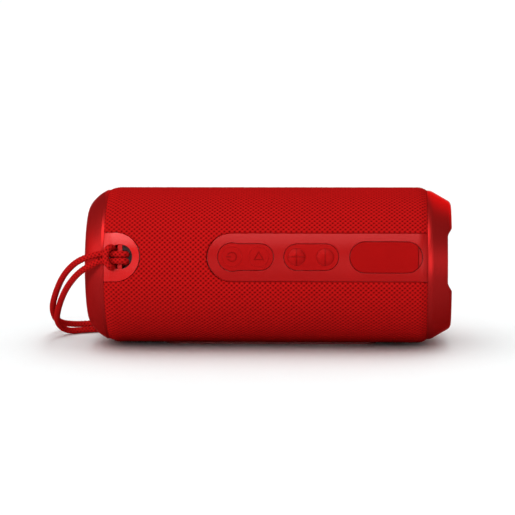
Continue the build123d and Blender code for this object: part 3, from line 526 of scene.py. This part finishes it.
def woven(name, colour, gap_shade_colour, gap_shade_share, **settings):
    """Woven or braided yarn: painted shade darkens the gaps, and twisted fibres run along each thread
    with painted shade in their grooves.

    The threads are weave_relief's, but here the part of a thread below its middle height is level.
    """
    fibres_along, fibres_across = 2.0, 5.0
    fibre_depth, fuzz_depth = 0.12, 0.25
    relief_depth = 0.12 * mm
    dark_yarn, light_yarn, fibre_groove_shade = 0.86, 1.14, 0.9
    least_yarn, most_yarn = 0.35, 0.65
    finish = Finish(name, **settings)
    place = finish.node("ShaderNodeUVMap", uv_map="weave").outputs[0]
    split = finish.node("ShaderNodeSeparateXYZ", place)
    along, around = split.outputs[0], split.outputs[1]
    first = finish.math("ADD", along, around)
    second = finish.math("SUBTRACT", along, around)
    threads = []
    for run, across, sign in ((first, second, 1.0), (second, first, -1.0)):
        parity = finish.math("LESS_THAN", finish.math("FLOORED_MODULO", across, 2.0), 1.0)
        parity = finish.math("MULTIPLY", finish.math("SUBTRACT", parity, 0.5), 2.0 * sign)
        phase = finish.math("MULTIPLY", finish.math("SUBTRACT", run, 0.5), pi)
        wave = finish.math("MULTIPLY", finish.math("COSINE", phase), parity)
        offset = finish.math("SUBTRACT", finish.math("FLOORED_MODULO", across, 1.0), 0.5)
        width = finish.math("DIVIDE", offset, thread_half_width)
        crown = finish.math("SUBTRACT", 1.0, finish.math("MULTIPLY", width, width))
        crown = finish.math("SQRT", finish.math("MAXIMUM", crown, 0.0))
        lifted = finish.math("MULTIPLY", crown, finish.spread(wave, (1 + dipped_height) / 2, 1.0))
        turns_along = finish.math("MULTIPLY", run, fibres_along)
        turns = finish.math("ADD", turns_along, finish.math("MULTIPLY", across, fibres_across))
        threads.append((lifted, finish.math("SINE", finish.math("MULTIPLY", turns, 2 * pi))))
    (first_lift, first_fibre), (second_lift, second_fibre) = threads
    height = finish.math("MAXIMUM", first_lift, second_lift)
    first_shown = finish.math("GREATER_THAN", first_lift, second_lift)
    second_shown = finish.math("SUBTRACT", 1.0, first_shown)
    first_fibre = finish.math("MULTIPLY", first_fibre, first_shown)
    second_fibre = finish.math("MULTIPLY", second_fibre, second_shown)
    fibre = finish.math("ADD", first_fibre, second_fibre)
    dye = finish.noise(scale=420, detail=4)
    yarn = finish.blend(dye, shade(colour, dark_yarn), shade(colour, light_yarn))
    # Painted shade: the yarn is darker in the valleys of the fibres' bump
    yarn_share = finish.spread(fibre, least_yarn, most_yarn)
    yarn = finish.blend(yarn_share, shade(colour, fibre_groove_shade), yarn)
    # Painted shade: the colour turns towards the dark gap colour where the threads sink into the weave's
    # gaps
    gap = finish.math("MULTIPLY", finish.math("SUBTRACT", 1.0, height), gap_shade_share)
    finish.set("Base Color", finish.blend(finish.math("MINIMUM", gap, 1.0), yarn, gap_shade_colour))
    relief = finish.math("ADD", height, finish.math("MULTIPLY", fibre, fibre_depth))
    relief = finish.math("ADD", relief, finish.math("MULTIPLY", finish.noise(scale=5200), fuzz_depth))
    finish.set("Normal", finish.bump(relief, relief_depth))
    return finish.material


def metal(name, colour, roughness):
    """Bare metal with fine scratches and small changes in its polish."""
    scratch_stretch = (1.0, 0.12, 0.12)
    scratch_depth = 0.006 * mm
    smoother, rougher = 0.08, 0.12
    dark_patch, light_patch = 0.85, 1.1
    finish = Finish(name, Metallic=1.0)
    stretched = finish.node("ShaderNodeMapping", finish.node("ShaderNodeTexCoord").outputs["Object"])
    stretched.inputs["Scale"].default_value = scratch_stretch
    scratches = finish.noise(scale=2500, detail=3, where=stretched.outputs[0])
    patches = finish.noise(scale=300, detail=3)
    patched = finish.blend(patches, shade(colour, dark_patch), shade(colour, light_patch))
    finish.set("Base Color", patched)
    finish.set("Roughness", finish.spread(scratches, roughness - smoother, roughness + rougher))
    finish.set("Normal", finish.bump(scratches, scratch_depth))
    return finish.material


silicone_red = (0.238, 0.003, 0.003, 1)
finishes = {
    "sleeve_fabric": woven(
        "sleeve_fabric_weave",
        (0.405, 0.006, 0.006, 1),
        # Painted shade in the weave's gaps
        (0.02, 0.0003, 0.0003, 1),
        1.3,
        Roughness=0.7,
        Specular_IOR_Level=0.0,
    ),
    "cord_braid": woven(
        "cord_braid_weave",
        (0.42, 0.007, 0.007, 1),
        # Painted shade in the braid's gaps
        (0.05, 0.001, 0.001, 1),
        1.4,
        Roughness=0.65,
        Specular_IOR_Level=0.0,
    ),
    "panel_plastic": moulded(
        "panel_plastic_satin",
        (0.242, 0.003, 0.003, 1),
        0.3,
        Specular_IOR_Level=0.15,
        Specular_Tint=(1, 0.4, 0.4, 1),
    ),
    "plate_plastic": moulded(
        "plate_plastic_gloss",
        (0.392, 0.004, 0.004, 1),
        0.26,
        grain_depth=0.005 * mm,
        Specular_IOR_Level=0.21,
        Specular_Tint=(1, 0.75, 0.75, 1),
    ),
    "key_silicone": moulded(
        "key_silicone_soft",
        silicone_red,
        0.4,
        grain=6500,
        grain_depth=0.008 * mm,
        edge=0.05 * mm,
        # Painted shade in the keys' own grooves
        groove_shade_width=0.8 * mm,
        Specular_IOR_Level=0.18,
        Specular_Tint=(1, 0.1, 0.1, 1),
    ),
    "cover_silicone": moulded(
        "cover_silicone_soft",
        silicone_red,
        0.55,
        grain=6500,
        grain_depth=0.008 * mm,
        Specular_IOR_Level=0.05,
        Specular_Tint=(1, 0.1, 0.1, 1),
    ),
    "cap_plastic": moulded(
        "cap_plastic_satin",
        (0.215, 0.007, 0.007, 1),
        0.36,
        grain=5200,
        grain_depth=0.01 * mm,
        Metallic=0.46,
        Specular_IOR_Level=0.0,
        Specular_Tint=(1, 0.05, 0.05, 1),
    ),
    "foot_rubber": moulded("foot_rubber_matte", (0.09, 0.006, 0.006, 1), 0.75, grain=2600),
    "inner_plastic": moulded("inner_plastic_matte", (0.04, 0.009, 0.01, 1), 0.55),
    "radiator_plastic": moulded(
        "radiator_plastic_satin", (0.24, 0.005, 0.005, 1), 0.4, Specular_IOR_Level=0.15
    ),
    "surround_rubber": moulded("surround_rubber_matte", (0.022, 0.02, 0.021, 1), 0.6, grain=7000),
    "gasket_rubber": moulded("gasket_rubber_matte", (0.02, 0.02, 0.02, 1), 0.85, grain=1800),
    "cell_wrap": moulded("cell_wrap_film", (0.02, 0.11, 0.32, 1), 0.3, grain=900),
    "board": moulded("board_laminate", (0.01, 0.09, 0.035, 1), 0.4, grain=3200),
    "chip_plastic": moulded("chip_plastic_black", (0.018, 0.018, 0.019, 1), 0.5, grain=9000),
    "steel": metal("steel_polished", (0.62, 0.61, 0.6, 1), 0.3),
    "brass": metal("brass_turned", (0.75, 0.52, 0.22, 1), 0.3),
    "basket_steel": metal("basket_steel_pressed", (0.35, 0.35, 0.36, 1), 0.42),
    "motor_steel": metal("motor_steel_plated", (0.5, 0.49, 0.47, 1), 0.35),
    "cone_paper": moulded("cone_paper_pressed", (0.035, 0.035, 0.037, 1), 0.8, grain=2200),
}
for node in frame["nodes"].values():
    slot = node.material_slots[0]
    slot.material = finishes[slot.material.name.split(".")[0]]
sleeve.data.materials.append(finishes["sleeve_fabric"])
lanyard_loop.data.materials.append(finishes["cord_braid"])
hitch_braid.data.materials.append(finishes["cord_braid"])

# ---- Floor ----

floor_half = 6.0
paper_tones = (0.92, 0.95, 0.95, 1), (0.935, 0.965, 0.965, 1)
floor_mesh = bpy.data.meshes.new("floor")
floor_shape = bmesh.new()
bmesh.ops.create_grid(floor_shape, x_segments=4, y_segments=4, size=floor_half)
floor_shape.to_mesh(floor_mesh)
floor_shape.free()
floor = bpy.data.objects.new("floor", floor_mesh)
bpy.context.scene.collection.objects.link(floor)
floor_finish = Finish("floor_paper", Roughness=0.9, Specular_IOR_Level=0.1)
floor_finish.set("Base Color", floor_finish.blend(floor_finish.noise(scale=40), *paper_tones))
floor.data.materials.append(floor_finish.material)

# ---- Room ----

world = bpy.data.worlds.new("studio")
world.use_nodes = True
world.cycles.sampling_method = "NONE"
bpy.context.scene.world = world
sky = world.node_tree


def sky_node(kind, *values, **properties):
    """The outputs of a new node in the world's tree, made by add_node."""
    return add_node(sky, kind, values, properties).outputs


def towards(azimuth, elevation):
    """The direction of a place round the object: azimuth 0 is in front of it, 90 at +X."""
    turn, rise = radians(azimuth), radians(elevation)
    return Vector((sin(turn) * cos(rise), -cos(turn) * cos(rise), sin(rise)))


# The room looks evenly white, and its light falls off from the zenith to the horizon. What gloss
# reflects is a darker studio with soft cards: azimuth, elevation, radius of the even middle, radius
# of the soft edge, brightness
room_white = 1.1
zenith_light = 1.86
zenith_power = 1.4
reflected_room = 0.2
reflected_cards = (
    (-7, 57, 8, 25, 12.0),
    (-52, 55, 10, 26, 6.0),
    (17, 6, 8, 30, 7.5),
    (40, 6, 14, 36, 3.8),
    (-56, 9, 19, 40, 5.0),
    (-94, 0, 8, 32, 4.2),
    (157, 22, 14, 36, 3.8),
)
direction = sky_node("ShaderNodeTexCoord")["Generated"]
reflected = reflected_room
for azimuth, elevation, inner, outer, brightness in reflected_cards:
    middle = towards(azimuth, elevation)
    nearness = sky_node("ShaderNodeVectorMath", direction, middle, operation="DOT_PRODUCT")
    card = sky_node(
        "ShaderNodeMapRange",
        nearness["Value"],
        cos(radians(outer)),
        cos(radians(inner)),
        0.0,
        brightness,
        interpolation_type="SMOOTHSTEP",
    )
    reflected = sky_node("ShaderNodeMath", reflected, card[0], operation="ADD")[0]
upward = sky_node("ShaderNodeSeparateXYZ", direction)["Z"]
upward = sky_node("ShaderNodeMath", upward, 0.0, operation="MAXIMUM")
falloff = sky_node("ShaderNodeMath", upward[0], zenith_power, operation="POWER")
falloff = sky_node("ShaderNodeMath", falloff[0], zenith_light, operation="MULTIPLY")
ray = sky_node("ShaderNodeLightPath")
strength = sky_node("ShaderNodeMix", ray["Is Glossy Ray"], None, falloff[0], reflected)
strength = sky_node("ShaderNodeMix", ray["Is Camera Ray"], None, strength[0], room_white)
sky.links.new(strength[0], sky.nodes["Background"].inputs["Strength"])
sky.nodes["Background"].inputs["Color"].default_value = (1, 1, 1, 1)

# ---- Lights ----

softbox_distance = 1.7
softbox_width = 1.0
softbox_height = 0.5


def softbox(name, azimuth, elevation, power, lit, shadowing):
    """A soft area light aimed at the body, with the pieces that it lights and that cast its shadow."""
    light = bpy.data.lights.new(name, "AREA")
    light.shape = "RECTANGLE"
    light.size = softbox_width
    light.size_y = softbox_height
    light.energy = power
    lamp = bpy.data.objects.new(name, light)
    lamp.visible_camera = False
    lamp.visible_glossy = False
    lamp.light_linking.receiver_collection = lit
    lamp.light_linking.blocker_collection = shadowing
    bpy.context.scene.collection.objects.link(lamp)
    back = towards(azimuth, elevation)
    target = Vector((0, 0, axis_height))
    lamp.location = target + back * softbox_distance
    lamp.rotation_euler = (-back).to_track_quat("-Z", "Y").to_euler()


# The softboxes don't light the floor, which has its light and shadow from the room alone, and the
# lanyard's loop casts no hard shadow of theirs on the cap
lit_pieces = bpy.data.collections.new("lit_pieces")
shadowing_pieces = bpy.data.collections.new("shadowing_pieces")
for piece in bpy.context.scene.objects:
    if piece.type == "MESH" and piece is not floor:
        lit_pieces.objects.link(piece)
        if piece is not lanyard_loop:
            shadowing_pieces.objects.link(piece)
softbox("key_light", -24, 19, 27, lit_pieces, shadowing_pieces)
softbox("back_light", 165, 9, 20, lit_pieces, shadowing_pieces)
